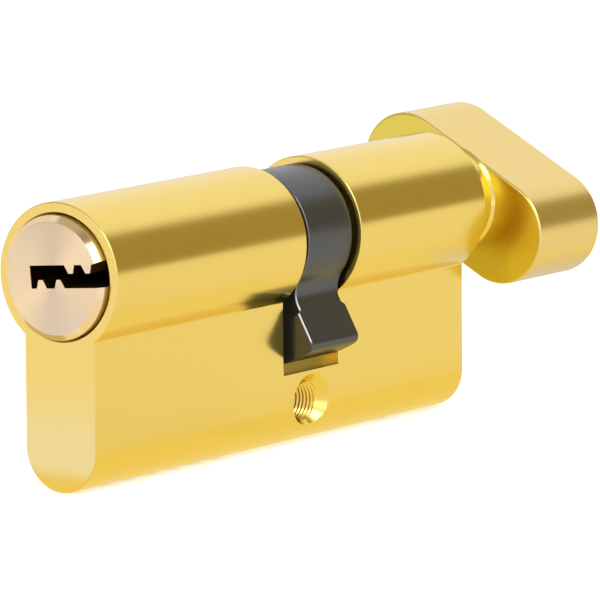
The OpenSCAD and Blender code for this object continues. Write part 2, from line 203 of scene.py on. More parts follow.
def boolean(piece, tools, operation="DIFFERENCE"):
    """Cuts the tools from the piece, or joins them to it, and removes them."""
    for tool in tools:
        modifier = piece.modifiers.new("cut", "BOOLEAN")
        modifier.operation = operation
        modifier.solver = "EXACT"
        modifier.object = tool
    depsgraph = bpy.context.evaluated_depsgraph_get()
    mesh = bpy.data.meshes.new_from_object(piece.evaluated_get(depsgraph))
    piece.modifiers.clear()
    old, piece.data = piece.data, mesh
    mesh.name = piece.name
    bpy.data.meshes.remove(old)
    for tool in tools:
        bpy.data.meshes.remove(tool.data)
    weld(mesh, 5e-7)


def weigh_normals(piece):
    """Each normal leans to the larger faces around it, so flat faces stay flat up to their rounded
    edges. The modifier passes over areas as small as these, so it works on the piece 1000 times as
    large."""
    piece.data.transform(Matrix.Scale(1 / MM, 4))
    piece.modifiers.new("flat faces", "WEIGHTED_NORMAL").keep_sharp = True
    depsgraph = bpy.context.evaluated_depsgraph_get()
    mesh = bpy.data.meshes.new_from_object(
        piece.evaluated_get(depsgraph), preserve_all_data_layers=True, depsgraph=depsgraph)
    piece.modifiers.clear()
    old, piece.data = piece.data, mesh
    bpy.data.meshes.remove(old)
    mesh.name = piece.name
    mesh.transform(Matrix.Scale(MM, 4))


def finish_metal(piece, node, body, material):
    """Smooth shading up to the crease angle, flat faces kept flat, and the piece put in the place of
    its node."""
    piece.data.materials.clear()
    piece.data.materials.append(material)
    piece.data.shade_smooth()
    piece.data.set_sharp_from_angle(angle=CREASE)
    weigh_normals(piece)
    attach(piece, body)
    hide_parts(node)


def rounding(radius):
    """(along, inset) of a quarter round, from the face's plane (0, radius) to the wall (radius, 0)."""
    a = np.linspace(0, pi / 2, 5)
    return list(zip(radius * (1 - np.cos(a)), radius * (1 - np.sin(a))))


# ---------------------------------------------------------------- colours and materials

def linear(hex_colour):
    """An sRGB hex colour as linear RGBA."""
    channels = [int(hex_colour[i:i + 2], 16) / 255 for i in (1, 3, 5)]
    decoded = [c / 12.92 if c <= 0.04045 else ((c + 0.055) / 1.055) ** 2.4 for c in channels]
    return (*decoded, 1.0)


def add(tree, kind, settings=None, inputs=None):
    """Adds a node, with its settings and its inputs. An input takes a value or another node's
    output."""
    node = tree.nodes.new(kind)
    for key, value in (settings or {}).items():
        setattr(node, key, value)
    for key, value in (inputs or {}).items():
        if isinstance(value, bpy.types.NodeSocket):
            tree.links.new(value, node.inputs[key])
        else:
            node.inputs[key].default_value = value
    return node


def metal(name, base, roughness, **shader_inputs):
    """A metal with its shader: returns the material, its tree and the shader."""
    material = bpy.data.materials.new(name)
    material.use_nodes = True
    tree = material.node_tree
    shader = tree.nodes["Principled BSDF"]
    shader.inputs["Base Color"].default_value = linear(base)
    shader.inputs["Metallic"].default_value = 1
    shader.inputs["Roughness"].default_value = roughness
    for key, value in shader_inputs.items():
        shader.inputs[key.replace("_", " ").title()].default_value = value
    return material, tree, shader


def object_place(tree):
    """The point's place on the piece, in metres."""
    return add(tree, "ShaderNodeTexCoord").outputs["Object"]


def uneven_roughness(tree, shader, low, high, scale, detail):
    """Roughness that wanders between low and high in soft spots."""
    spots = add(tree, "ShaderNodeTexNoise", inputs={
        "Vector": object_place(tree), "Scale": scale, "Detail": detail})
    rough = add(tree, "ShaderNodeMapRange", inputs={
        "Value": spots.outputs["Fac"], "To Min": low, "To Max": high})
    tree.links.new(rough.outputs["Result"], shader.inputs["Roughness"])


def mixed_base(tree, shader, share, base, other):
    """The base colour, with the other one where share is 1."""
    tone = add(tree, "ShaderNodeMix", {"data_type": "RGBA"}, {
        "Factor": share, "A": linear(base), "B": linear(other)})
    tree.links.new(tone.outputs["Result"], shader.inputs["Base Color"])


def lacquered_brass(name, base, painted_end_face_tone, low, high, scale, detail):
    """Brass under gold lacquer, uneven in its polish, with another tone on the faces that look to the
    key end, painted to stand in for how those faces are lit."""
    material, tree, shader = metal(name, base, (low + high) / 2)
    uneven_roughness(tree, shader, low, high, scale, detail)
    normal = add(tree, "ShaderNodeTexCoord").outputs["Normal"]
    facing = add(tree, "ShaderNodeSeparateXYZ", inputs={"Vector": normal})
    # a painted tone for how the faces towards the key end are lit: painted light on the housing's end,
    # painted shade on the knob's inner face
    painted_end_face_share = add(tree, "ShaderNodeMath", {"operation": "LESS_THAN"}, {
        0: facing.outputs["X"], 1: -0.98})
    mixed_base(tree, shader, painted_end_face_share.outputs[0], base, painted_end_face_tone)
    return material


def polished_brass():
    """Polished brass under gold lacquer: a warm mirror, a little blurred by the buffing wheel. The
    milled end is painted paler: painted light from the pale floor it mirrors."""
    return lacquered_brass("polished_brass_lacquered", "#F1D773", "#F2D87C", 0.16, 0.22, 120.0, 3.0)


def satin_brass():
    """The knob's brass, lacquered gold over a satin ground: the same colour, paler and more blurred.
    The side that faces the cylinder is painted more yellow, as painted shade where it faces the
    housing's end."""
    return lacquered_brass("satin_brass_lacquered", "#EDD582", "#E9D861", 0.25, 0.31, 150.0, 4.0)


def turned_brass():
    """Bare brass faced off on a lathe: pinkish, with fine rings about the axis that fan the light."""
    material, tree, shader = metal("turned_brass", "#F4DEB7", 0.33, anisotropic=0.9)
    parts = add(tree, "ShaderNodeSeparateXYZ", inputs={"Vector": object_place(tree)})
    height = add(tree, "ShaderNodeMath", {"operation": "SUBTRACT"}, {
        0: parts.outputs["Z"], 1: AXIS_Z * MM})
    spoke = add(tree, "ShaderNodeCombineXYZ", inputs={
        "Y": parts.outputs["Y"], "Z": height.outputs[0]})
    across = add(tree, "ShaderNodeVectorTransform", {
        "vector_type": "VECTOR", "convert_from": "OBJECT", "convert_to": "WORLD"}, {
        "Vector": spoke.outputs[0]})
    tree.links.new(across.outputs[0], shader.inputs["Tangent"])
    radius = add(tree, "ShaderNodeVectorMath", {"operation": "LENGTH"}, {0: spoke.outputs[0]})
    rings = add(tree, "ShaderNodeTexNoise", {"noise_dimensions": "1D"}, {
        "W": radius.outputs["Value"], "Scale": 4000.0, "Detail": 2.0})
    rough = add(tree, "ShaderNodeMapRange", inputs={
        "Value": rings.outputs["Fac"], "To Min": 0.28, "To Max": 0.38})
    tree.links.new(rough.outputs["Result"], shader.inputs["Roughness"])
    bump = add(tree, "ShaderNodeBump", inputs={
        "Strength": 0.12, "Distance": 0.00002, "Height": rings.outputs["Fac"]})
    tree.links.new(bump.outputs["Normal"], shader.inputs["Normal"])
    return material


def plug_edge_brass():
    """The plug's bevel, cut with a sharper tool: the same pinkish brass as a clean mirror."""
    return metal("bevelled_brass", "#F4DEB7", 0.12)[0]


def sintered_steel():
    """Sintered steel, steam-treated to a black oxide: a dull dark grey with a faint sheen and a fine
    grain, partly a metal's mirror and partly matt, and pale on one edge, partly rubbed bright and
    partly a painted highlight."""
    base, rubbed_and_highlit = "#595C5B", "#D5D6D6"
    material, tree, shader = metal("blackened_sintered_steel", base, 0.3, metallic=0.85)
    uneven_roughness(tree, shader, 0.25, 0.35, 2500.0, 2.0)
    # the pale edge colour is partly wear and partly a painted highlight
    wear_and_highlight = add(tree, "ShaderNodeAttribute", {"attribute_name": "wear_and_highlight"})
    mixed_base(tree, shader, wear_and_highlight.outputs["Fac"], base, rubbed_and_highlit)
    return material


def plain_metal(name, base, roughness):
    """A plain metal with a faint uneven polish, for the inner pieces and the plug's sides."""
    material, tree, shader = metal(name, base, roughness)
    uneven_roughness(tree, shader, roughness - 0.06, roughness + 0.06, 900.0, 4.0)
    return material


GOLD = polished_brass()
SATIN = satin_brass()
TURNED = turned_brass()
BEVEL = plug_edge_brass()
BLACK = sintered_steel()
BRASS = plain_metal("plain_brass", "#D9B56A", 0.28)
STEEL = plain_metal("plain_steel", "#B9BABC", 0.25)
SPRING = plain_metal("spring_steel", "#9FA1A3", 0.3)
DARK = plain_metal("blackened_steel", "#3C3C3D", 0.35)
# duller brass for the plug's outside: partly a duller finish, partly painted shade in the gap around
# the head
DULL_AND_SHADED = plain_metal("dull_brass_and_painted_shade", "#CDBE98", 0.35)
# dark brass for the plug's insides: painted shade in the keyway and holes
KEYWAY_PAINTED_SHADE = plain_metal("keyway_painted_shade_brass", "#7A5A30", 0.4)


# ---------------------------------------------------------------- housing

EDGE = 0.14                # rounding of the housing's edges
FILLET = 0.45              # hollow between the barrel and the web
FADE = 0.6                 # height over which the edges' rounding fades in above the floor line
MOUTH = 0.12               # chamfer of the smaller mouths of the bores
ARC_POINTS = 145
FILLET_POINTS = 7
SIDE_POINTS = 15
FLOOR_POINTS = 25
BOTTOM_POINTS = 65


def profile_ring(inset, at_floor):
    """The euro profile above the slot's floor, as a closed loop of (y, z) points: the barrel's arc,
    a fillet, a side of the web, the flat floor line, the other side and its fillet, all moved in by
    inset. With at_floor 0, the inset fades out just above the floor line."""
    hollow_y = WEB_HALF + FILLET
    hollow_z = -sqrt((BARREL_R + FILLET) ** 2 - hollow_y ** 2)
    start = atan2(hollow_z, hollow_y)
    a = np.linspace(start, pi - start, ARC_POINTS)
    arc = (BARREL_R - inset) * np.stack([np.cos(a), np.sin(a)], -1)
    b = np.linspace(-start, 0, FILLET_POINTS + 1)[1:]
    fillet = (-hollow_y, hollow_z) + (FILLET + inset) * np.stack([np.cos(b), np.sin(b)], -1)
    z = np.linspace(hollow_z, SLOT_FLOOR, SIDE_POINTS)[1:]
    fade = np.clip((z - SLOT_FLOOR) / FADE, 0, 1)
    y = WEB_HALF - inset * np.where(at_floor, 1, fade)
    left = np.concatenate([fillet, np.stack([-y, z], -1)])
    across = np.linspace(-1, 1, FLOOR_POINTS)[1:-1]
    floor = np.stack([across * y[-1], np.full(len(across), SLOT_FLOOR)], -1)
    return np.concatenate([arc, left, floor, left[::-1] * (-1, 1)])


def block_stations(end, sign):
    """(x, inset, at_floor) from the cam slot out to that end, with both edges rounded."""
    edge = rounding(EDGE)
    at_slot = [(sign * (SLOT_HALF + along), inset, 0) for along, inset in edge]
    return at_slot + [(end - sign * along, inset, 1) for along, inset in edge[::-1]]


def block(stations, bore):
    """Half of the barrel with the web down to the slot's floor, as one closed tube of rings: the
    profile at each station, then the bore's circle at each (x, r). It comes as two grids without the
    faces on the floor line, where the web's foot joins it."""
    plain = profile_ring(0, True)
    a = np.arctan2(plain[:, 1], plain[:, 0])
    circle = np.stack([np.cos(a), np.sin(a)], -1)
    rings = [(x, profile_ring(inset, at_floor)) for x, inset, at_floor in stations]
    rings += [(x, r * circle) for x, r in bore]
    grid = np.array([np.column_stack([np.full(len(yz), x), yz]) for x, yz in rings])
    count = len(stations)
    floor_from = ARC_POINTS + FILLET_POINTS + SIDE_POINTS - 2
    floor_to = floor_from + FLOOR_POINTS - 1
    walls = np.concatenate([grid[:count, floor_to:], grid[:count, :floor_from + 1]], 1)
    rest = np.concatenate([grid[count - 1:], grid[:1]])
    return [(walls, False, False), (rest, False, True)]


def web_foot(stations):
    """The web below the slot's floor: a U of (y, z) points at each station (x, inset),
    flat ends joined across from side to side, and the slot's floor on top."""
    down = np.linspace(SLOT_FLOOR, WEB_ROUND, 5)[:-1]
    a = np.linspace(0, pi, BOTTOM_POINTS)

    def u_line(inset):
        half = WEB_HALF - inset
        side = np.stack([np.full(len(down), half), down], -1)
        bottom = np.stack([half * np.cos(a), WEB_ROUND - half * np.sin(a)], -1)
        return np.concatenate([side, bottom, side[::-1] * (-1, 1)])

    sides = []
    for x, inset in stations:
        line = u_line(inset)
        sides.append(np.column_stack([np.full(len(line), x), line]))
    grids = [np.array(sides)]
    across = np.linspace(-1, 1, FLOOR_POINTS)
    for x, inset in (stations[0], stations[-1]):
        half_line = u_line(inset)[:len(down) + BOTTOM_POINTS // 2 + 1]
        y, z = half_line[:, :1], half_line[:, 1:]
        grids.append(np.stack([x + 0 * (y * across), -y * across, z + 0 * across], -1))
    floor_x = np.array([x for x, _ in stations if abs(x) <= SLOT_HALF + 1e-9])[:, None]
    flat = 0 * floor_x * across
    grids.append(np.stack([floor_x + flat, -WEB_HALF * across + flat, SLOT_FLOOR + flat], -1))
    return [(grid, False, False) for grid in grids]


def screw_tool():
    """The fixing hole's tool. Its rows follow the thread, so row k at angle a lies at
    y_k + pitch a / 2 pi, and its radius is the thread's profile at that row, or the countersink's
    where that is wider. The last column of row k is the first column of the row one pitch on, and
    fans close both ends."""
    pitch, pitch_rows, turns, columns = 0.5, 12, 26, 96
    crest_r, root_r = 2.1, 2.36
    sink_y = [2.7, 4.85, 4.91, 4.96, 5.0, 7.5]              # its edge is rounded at the web's side
    sink_r = [1.1, 3.25, 3.33, 3.44, 3.61, 11.0]
    a = np.linspace(0, 2 * pi, columns + 1)
    k = np.arange(-turns * pitch_rows // 2, turns * pitch_rows // 2 + 1)
    thread = np.interp(k % pitch_rows, [0, 1, 6, 7, 12], [crest_r, crest_r, root_r, root_r, crest_r])
    y = pitch * (k[:, None] / pitch_rows + a / (2 * pi) - 0.5)
    r = np.maximum(thread[:, None], np.interp(np.abs(y), sink_y, sink_r))
    grid = np.stack([r * np.cos(a), y, SCREW_Z + r * np.sin(a)], -1)
    grids = [(grid, False, False)]
    for row, seam in ((grid[0], grid[:pitch_rows + 1, 0]), (grid[-1], grid[-pitch_rows - 1:, -1])):
        middle = np.array([0, row[columns // 2, 1], SCREW_Z])
        for line in (row, seam):
            grids.append((np.stack([line, middle + 0 * line]), False, False))
    return from_grids("screw_tool", grids)


def make_housing():
    """The whole body: two barrel blocks on one web foot, then the holes."""
    key_side, turn_side = block_stations(KEY_END, -1), block_stations(TURN_END, 1)
    shoulder = HEAD_BACK + 0.1
    key_bore = [(KEY_END, HEAD_BORE_R + 0.2), (KEY_END + 0.25, HEAD_BORE_R),
                (shoulder, HEAD_BORE_R), (shoulder, PLUG_BORE_R),
                (-SLOT_HALF - MOUTH, PLUG_BORE_R), (-SLOT_HALF, PLUG_BORE_R + MOUTH)]
    turn_bore = [(TURN_END, ROTOR_BORE_R + MOUTH), (TURN_END - MOUTH, ROTOR_BORE_R),
                 (SLOT_HALF + MOUTH, ROTOR_BORE_R), (SLOT_HALF, ROTOR_BORE_R + MOUTH)]
    foot = [(x, inset if at_floor else 0) for x, inset, at_floor in key_side[::-1] + turn_side]
    housing = from_grids("housing_body", [
        *block(key_side, key_bore), *block(turn_side, turn_bore), *web_foot(foot)])
    below = WEB_BOTTOM - 1
    tools = [screw_tool()]
    tools += [rod_z(f"chamber_{i}", x, CHAMBER_R, below, 1 - PLUG_R) for i, x in enumerate(PIN_X)]
    tools.append(rod_z("ball_chamber", BALL_X, CHAMBER_R, below, 1 - ROTOR_R))
    boolean(housing, tools)
    finish_metal(housing, "housing", "housing", GOLD)


# ---------------------------------------------------------------- key plug

def keyway_outline():
    """The keyway in (y, z): floor and ceiling lines, each with two wards, and a mouth that opens
    to -Y. A ward's flank on the closed side and the one on the open side run in by different
    amounts."""
    floor, ceiling, reach, height, half = -1.1, 1.5, 3.07, 0.96, 0.73
    outside, mouth_rise, lean = -12, 0.4, radians(-5.5)

    def ward(middle, base, tip, open_run, closed_run):
        return [(middle - half, base), (middle - half + open_run, tip),
                (middle + half - closed_run, tip), (middle + half, base)]

    low = [(outside, floor)] + ward(-1.0, floor, floor + height, 0.54, 0.34)
    low += ward(1.6, floor, floor + height, 0.5, 0.34) + [(reach, floor)]
    high = [(reach, ceiling)] + ward(-2.6, ceiling, ceiling - height, 0.27, 0.54)[::-1]
    high += ward(-5.05, ceiling, ceiling - height, 0.27, 0.54)[::-1]
    high += [(-HEAD_R, ceiling + mouth_rise), (outside, ceiling + mouth_rise)]
    return [(y * cos(lean) - z * sin(lean), y * sin(lean) + z * cos(lean)) for y, z in low + high]


def make_key_plug():
    """The plug turned about its axis, with its keyway, pin holes and the slot for the coupling."""
    chamfer_r, chamfer_x, clip_r, edge = HEAD_R - 0.73, HEAD_FRONT + 0.6, 5.75, 0.05
    profile = [(HEAD_FRONT, 0), (HEAD_FRONT, 2.2), (HEAD_FRONT, 4.5), (HEAD_FRONT, chamfer_r - 0.04),
               (HEAD_FRONT + 0.03, chamfer_r + 0.02), (chamfer_x - 0.04, HEAD_R - 0.03),
               (chamfer_x + 0.03, HEAD_R), (HEAD_BACK - edge, HEAD_R), (HEAD_BACK, HEAD_R - edge),
               (HEAD_BACK, PLUG_R), (-CLIP_FAR, PLUG_R), (-CLIP_FAR, clip_r), (-CLIP_NEAR, clip_r),
               (-CLIP_NEAR, PLUG_R), (PLUG_BACK, PLUG_R), (PLUG_BACK, 0)]
    plug = around_axis("key_plug_body", profile)
    tools = [prism_x("keyway", keyway_outline(), HEAD_FRONT - 1, KEYWAY_END)]
    tools += [rod_z(f"pin_hole_{i}", x, CHAMBER_R, -PLUG_R - 1, 0.1) for i, x in enumerate(PIN_X)]
    tools.append(prism_x("tongue_slot", rectangle(1.54, 5.04), KEYWAY_END, 0))
    boolean(plug, tools)
    finish_metal(plug, "key_plug", "plug", TURNED)
    finish_sides(plug.data)


def finish_sides(mesh):
    """The plug's insides painted dark as painted shade (3), its duller outside, partly painted shade
    (2), and bright bevel (1), picked out by how far each face looks along the axis and away from it.
    The rest, which looks along the axis, stays 0."""
    for material in (BEVEL, DULL_AND_SHADED, KEYWAY_PAINTED_SHADE):
        mesh.materials.append(material)
    count = len(mesh.polygons)
    normal, centre = np.empty(3 * count), np.empty(3 * count)
    mesh.polygons.foreach_get("normal", normal)
    mesh.polygons.foreach_get("center", centre)
    normal, centre = normal.reshape(-1, 3), centre.reshape(-1, 3) - (0, 0, AXIS_Z * MM)
    away = centre * (0, 1, 1)
    away /= np.maximum(np.linalg.norm(away, axis=1), 1e-9)[:, None]
    along, outward = np.abs(normal[:, 0]), np.sum(normal * away, axis=1)
    # slot 3 is painted shade on the insides; slot 2 is partly painted shade on the sides
    slot = np.select([(along < 0.5) & (outward < 0.9), along < 0.5, (along < 0.9) & (outward > 0.5)],
                     [3, 2, 1], 0)
    mesh.polygons.foreach_set("material_index", slot.astype(np.int32))


# ---------------------------------------------------------------- cam

RING_R = 7.65
RING_KEY_X = -3.7          # the ring's side towards the key end
RING_TURN_X = 4.6          # and towards the thumbturn
TIP_R = 15.0
CAM_EDGE = 0.2             # rounding of the cam's edges
LUG_ANGLE = radians(180 - 20)


def cam_line(inset):
    """Half of the cam's outline from the tip's middle to the ring's far side, as (u, v) points with v
    away from the axis: the tip's arc, the corner's arc, the flared flank, the hollow's arc and the
    ring, all moved in by inset."""
    hollow_r, corner_r, flare = 2.8, 1.0, radians(9.5)
    foot = np.array([2.97, RING_R + 1])
    along = np.array([sin(flare), cos(flare)])
    inward = np.array([-cos(flare), sin(flare)])

    def on_circle(point, radius):
        """Where the line from the point along the flank meets the circle of that radius."""
        before = point @ along
        return point + (sqrt(before ** 2 - point @ point + radius ** 2) - before) * along

    hollow = on_circle(foot - hollow_r * inward, RING_R + hollow_r)
    corner = on_circle(foot + corner_r * inward, TIP_R - corner_r)
    corner_at = np.arctan2(*corner)
    hollow_at = np.arctan2(*hollow)
    a = np.linspace(0, corner_at, 15)[:-1]
    tip = (TIP_R - inset) * np.stack([np.sin(a), np.cos(a)], -1)
    b = np.linspace(pi / 2 - corner_at, -flare, 12)
    corner_arc = corner + (corner_r - inset) * np.stack([np.cos(b), np.sin(b)], -1)
    flank_end = hollow + (hollow_r + inset) * inward
    flank = corner_arc[-1] + np.linspace(0, 1, 48)[1:-1, None] * (flank_end - corner_arc[-1])
    c = np.linspace(pi - flare, 3 * pi / 2 - hollow_at, 18)
    hollow_arc = hollow + (hollow_r + inset) * np.stack([np.cos(c), np.sin(c)], -1)
    d = np.linspace(hollow_at, pi, 62)[1:]
    ring = (RING_R - inset) * np.stack([np.sin(d), np.cos(d)], -1)
    return np.concatenate([tip, corner_arc, flank, hollow_arc, ring])


def cam_side(r, side):
    """The x of the cam's side at that radius: the ring, the neck and, past the turned step, the wider
    lug. Towards the thumbturn the neck is a little narrower than the ring."""
    if side < 0:
        return np.interp(r, [10.12, 10.45], [RING_KEY_X, -4.2])
    return np.interp(r, [7.7, 9.0, 10.12, 10.5], [RING_TURN_X, 4.3, 4.3, 4.8])


def make_cam():
    """One closed grid: rings of points at growing radius up one side, around the edges and down the
    other side, where each ring stops at the outline, and then the bores. The slot for the
    coupling's wings is cut last."""
    wing_pocket, boss_bore, clip_pocket = 6.0, 4.19, 6.75
    wing_floor, clip_floor = -1.5, 3.75
    radii = [7.0, 7.4, 7.7, 8.1, 8.5, 9.0, 9.6, 10.0, 10.12, 10.2, 10.29, 10.37, 10.45, 10.5, 10.8,
             12, 13.4]
    edge = rounding(CAM_EDGE)

    def loop(inset):
        half = cam_line(inset)
        return np.concatenate([half, half[-2:0:-1] * (-1, 1)])

    flat = loop(CAM_EDGE)
    reach = np.hypot(flat[:, 0], flat[:, 1])
    rows, wear_and_highlight = [], []

    def add_ring(points, x, rubbed_and_highlit=0.0):
        r = np.hypot(points[:, 0], points[:, 1])
        rows.append(np.column_stack([x + 0 * r, points]))
        wear_and_highlight.append(rubbed_and_highlit * np.interp(r, [7.5, 8.0, 8.9, 13.9, 14.3], [0.1, 0.3, 1, 1, 0]))

    def add_side(points, side, along=0.0, rubbed_and_highlit=0.0):
        add_ring(points, cam_side(np.hypot(points[:, 0], points[:, 1]), side) - side * along, rubbed_and_highlit)

    def at_radius(radius):
        return flat / reach[:, None] * np.minimum(radius, reach)[:, None]

    add_ring(at_radius(wing_pocket), RING_KEY_X)
    for radius in radii:
        add_side(at_radius(radius), -1)
    # the rounding of the key-side edge is painted pale: partly wear, partly a painted highlight
    for (along, inset), rubbed_and_highlit in zip(edge, (0, 0.5, 1, 0.5, 0)):
        add_side(loop(inset), -1, along, rubbed_and_highlit)
    for along, inset in edge[::-1]:
        add_side(loop(inset), 1, along)
    for radius in radii[::-1]:
        add_side(at_radius(radius), 1)
    for x, radius in ((RING_TURN_X, clip_pocket), (clip_floor, clip_pocket), (clip_floor, boss_bore),
                      (wing_floor, boss_bore), (wing_floor, wing_pocket)):
        add_ring(at_radius(radius), x)

    grid = np.array(rows)
    turned = turned_yz(grid[..., 0], grid[..., 1], grid[..., 2], LUG_ANGLE)
    cam = from_grids("cam_body", [(turned, True, True)], wear_and_highlight=np.array(wear_and_highlight))
    slot = prism_x("wing_slot", rectangle(1.54, wing_pocket), RING_KEY_X - 1, clip_floor + 0.01)
    boolean(cam, [slot])
    finish_metal(cam, "cam", "turn", BLACK)


# ---------------------------------------------------------------- thumbturn

def make_rotor():
    """The rotor turned about the axis: spring pocket, boss, flange, circlip groove, ball groove, a
    neck that flares to the knob, and the spigot inside the knob. Two dogs on the boss carry the cam
    round."""
    groove_r, groove_rise = 1.49, 1.0
    half_angle = acos(groove_rise / groove_r)
    groove = [(BALL_X + groove_r * sin(t), ROTOR_R + groove_rise - groove_r * cos(t))
              for t in np.linspace(-half_angle, half_angle, 13)]
    start, pocket_end, flange, pocket_r, boss_r, clip_r = 0.9, 4.9, 3.85, 2.0, 4.15, 5.5
    neck, collar, flare, spigot_end = 6.15, 6.45, 0.42, KNOB_FACE + SPIGOT_LENGTH
    profile = [(pocket_end, 0), (pocket_end, pocket_r), (start, pocket_r), (start, boss_r),
               (flange, boss_r), (flange, ROTOR_R), (CLIP_NEAR, ROTOR_R), (CLIP_NEAR, clip_r),
               (CLIP_FAR, clip_r), (CLIP_FAR, ROTOR_R)]
    profile += groove
    profile += [(TURN_END - 0.6, ROTOR_R), (TURN_END - 0.5, neck), (KNOB_FACE - flare, neck),
                (KNOB_FACE, collar), (KNOB_FACE + 0.02, SPIGOT_R), (spigot_end - 0.2, SPIGOT_R),
                (spigot_end, SPIGOT_R - 0.2), (spigot_end, 0)]
    rotor = around_axis("rotor_body", profile)
    reach = 5.9
    dogs = prism_x("dogs", rectangle(1.5, reach), 1.0, 4.0)
    boolean(dogs, [rod_x("dog_limit", 0.5, 4.2, reach)], "INTERSECT")
    boolean(dogs, [rod_x("dog_bore", 0.5, 4.4, pocket_r)])
    boolean(rotor, [dogs], "UNION")
    finish_metal(rotor, "rotor", "turn", GOLD)


def knob_line(inset):
    """Half of the knob's outline, (u, v) with u along its length: a flat and the two half ends, all
    moved in by inset."""
    r = KNOB_HALF - inset
    a = np.linspace(pi, pi / 2, 41)
    left = np.stack([-KNOB_REACH + r * np.cos(a), r * np.sin(a)], -1)
    flat = np.stack([np.linspace(-KNOB_REACH, KNOB_REACH, 9)[1:-1], np.full(7, r)], -1)
    return np.concatenate([left, flat, left[::-1] * (-1, 1)])


def make_knob():
    """The knob: its outline at each station along X with rounded edges, flat faces joined across,
    then the spigot's bore and the set screw's hole."""
    edge = rounding(0.3)
    stations = [(KNOB_FACE + s, i) for s, i in edge] + [(KNOB_END - s, i) for s, i in edge[::-1]]
    rows = []
    for x, inset in stations:
        line = knob_line(inset)
        loop = np.concatenate([line, line[-2:0:-1] * (1, -1)])
        rows.append(np.column_stack([np.full(len(loop), x), loop]))
    grids = [(np.array(rows), True)]
    across = np.linspace(-1, 1, 9)[:, None]
    for x, inset in (stations[0], stations[-1]):
        u, v = knob_line(inset).T
        grids.append((np.stack([x + 0 * u * across, u + 0 * across, v * across], -1), False))
    turned = [(turned_yz(grid[..., 0], grid[..., 1], grid[..., 2], KNOB_ANGLE), False, wrap_columns)
              for grid, wrap_columns in grids]
    knob = from_grids("knob_body", turned)
    bore_end = KNOB_FACE + SPIGOT_LENGTH + 0.1
    bore = rod_x("spigot_bore", KNOB_FACE - 1, bore_end, SPIGOT_R + 0.04, 64)
    hole = rod_z("set_screw_hole", KNOB_FACE + SPIGOT_LENGTH / 2, 2.04, -KNOB_HALF - 2, -0.5)
    axis = Matrix.Translation((0, 0, AXIS_Z * MM))
    hole.data.transform(axis @ Matrix.Rotation(KNOB_ANGLE, 4, "X") @ axis.inverted())
    boolean(knob, [bore, hole])
    finish_metal(knob, "knob", "turn", SATIN)


make_housing()
make_key_plug()
make_cam()
make_rotor()
make_knob()

# ---------------------------------------------------------------- inner pieces


def make_spring(node, body):
    """The node's own coils as a piece of that body, in place of the node."""
    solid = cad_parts[node]
    coils = solid.data.copy()
    coils.transform(solid.matrix_world)
    coils.materials.clear()
    coils.materials.append(SPRING)
    spring = new_object(node + "_coils", coils)
    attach(spring, body)
    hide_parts(node)
    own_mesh(spring)


make_spring("coupling_spring", "turn")
for i in range(1, PINS + 1):
    make_spring(f"pin_spring_{i}", "housing")

# the other sealed pieces keep their CAD solids
INNER = {"chamber_plugs": BRASS, "key_circlip": SPRING, "turn_circlip": SPRING, "coupling": STEEL,
         "friction_ball": STEEL, "friction_spring": SPRING, "set_screw": DARK}
for i in range(1, PINS + 1):
    INNER.update({f"key_pin_{i}": BRASS, f"driver_pin_{i}": STEEL})
for node, material in INNER.items():
    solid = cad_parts[node]
    solid.data.materials.clear()
    solid.data.materials.append(material)


# ---------------------------------------------------------------- floor, light and camera

def step(tree, value, low, high):
    """A smooth step from 0 at low to 1 at high."""
    return add(tree, "ShaderNodeMapRange", {"interpolation_type": "SMOOTHSTEP"}, {
        "Value": value, "From Min": low, "From Max": high}).outputs["Result"]


def layered(tree, light, zones):
    """Colours laid over one another. A zone is a list of (value, low, high) and its colour: its share
    is the product of a smooth step from low to high for each value."""
    for steps, colour in zones:
        share = step(tree, *steps[0])
        for one in steps[1:]:
            share = add(tree, "ShaderNodeMath", {"operation": "MULTIPLY"}, {
                0: share, 1: step(tree, *one)}).outputs[0]
        light = add(tree, "ShaderNodeMix", {"data_type": "RGBA"}, {
            "Factor": share, "A": light, "B": (*colour, 1)}).outputs["Result"]
    return light


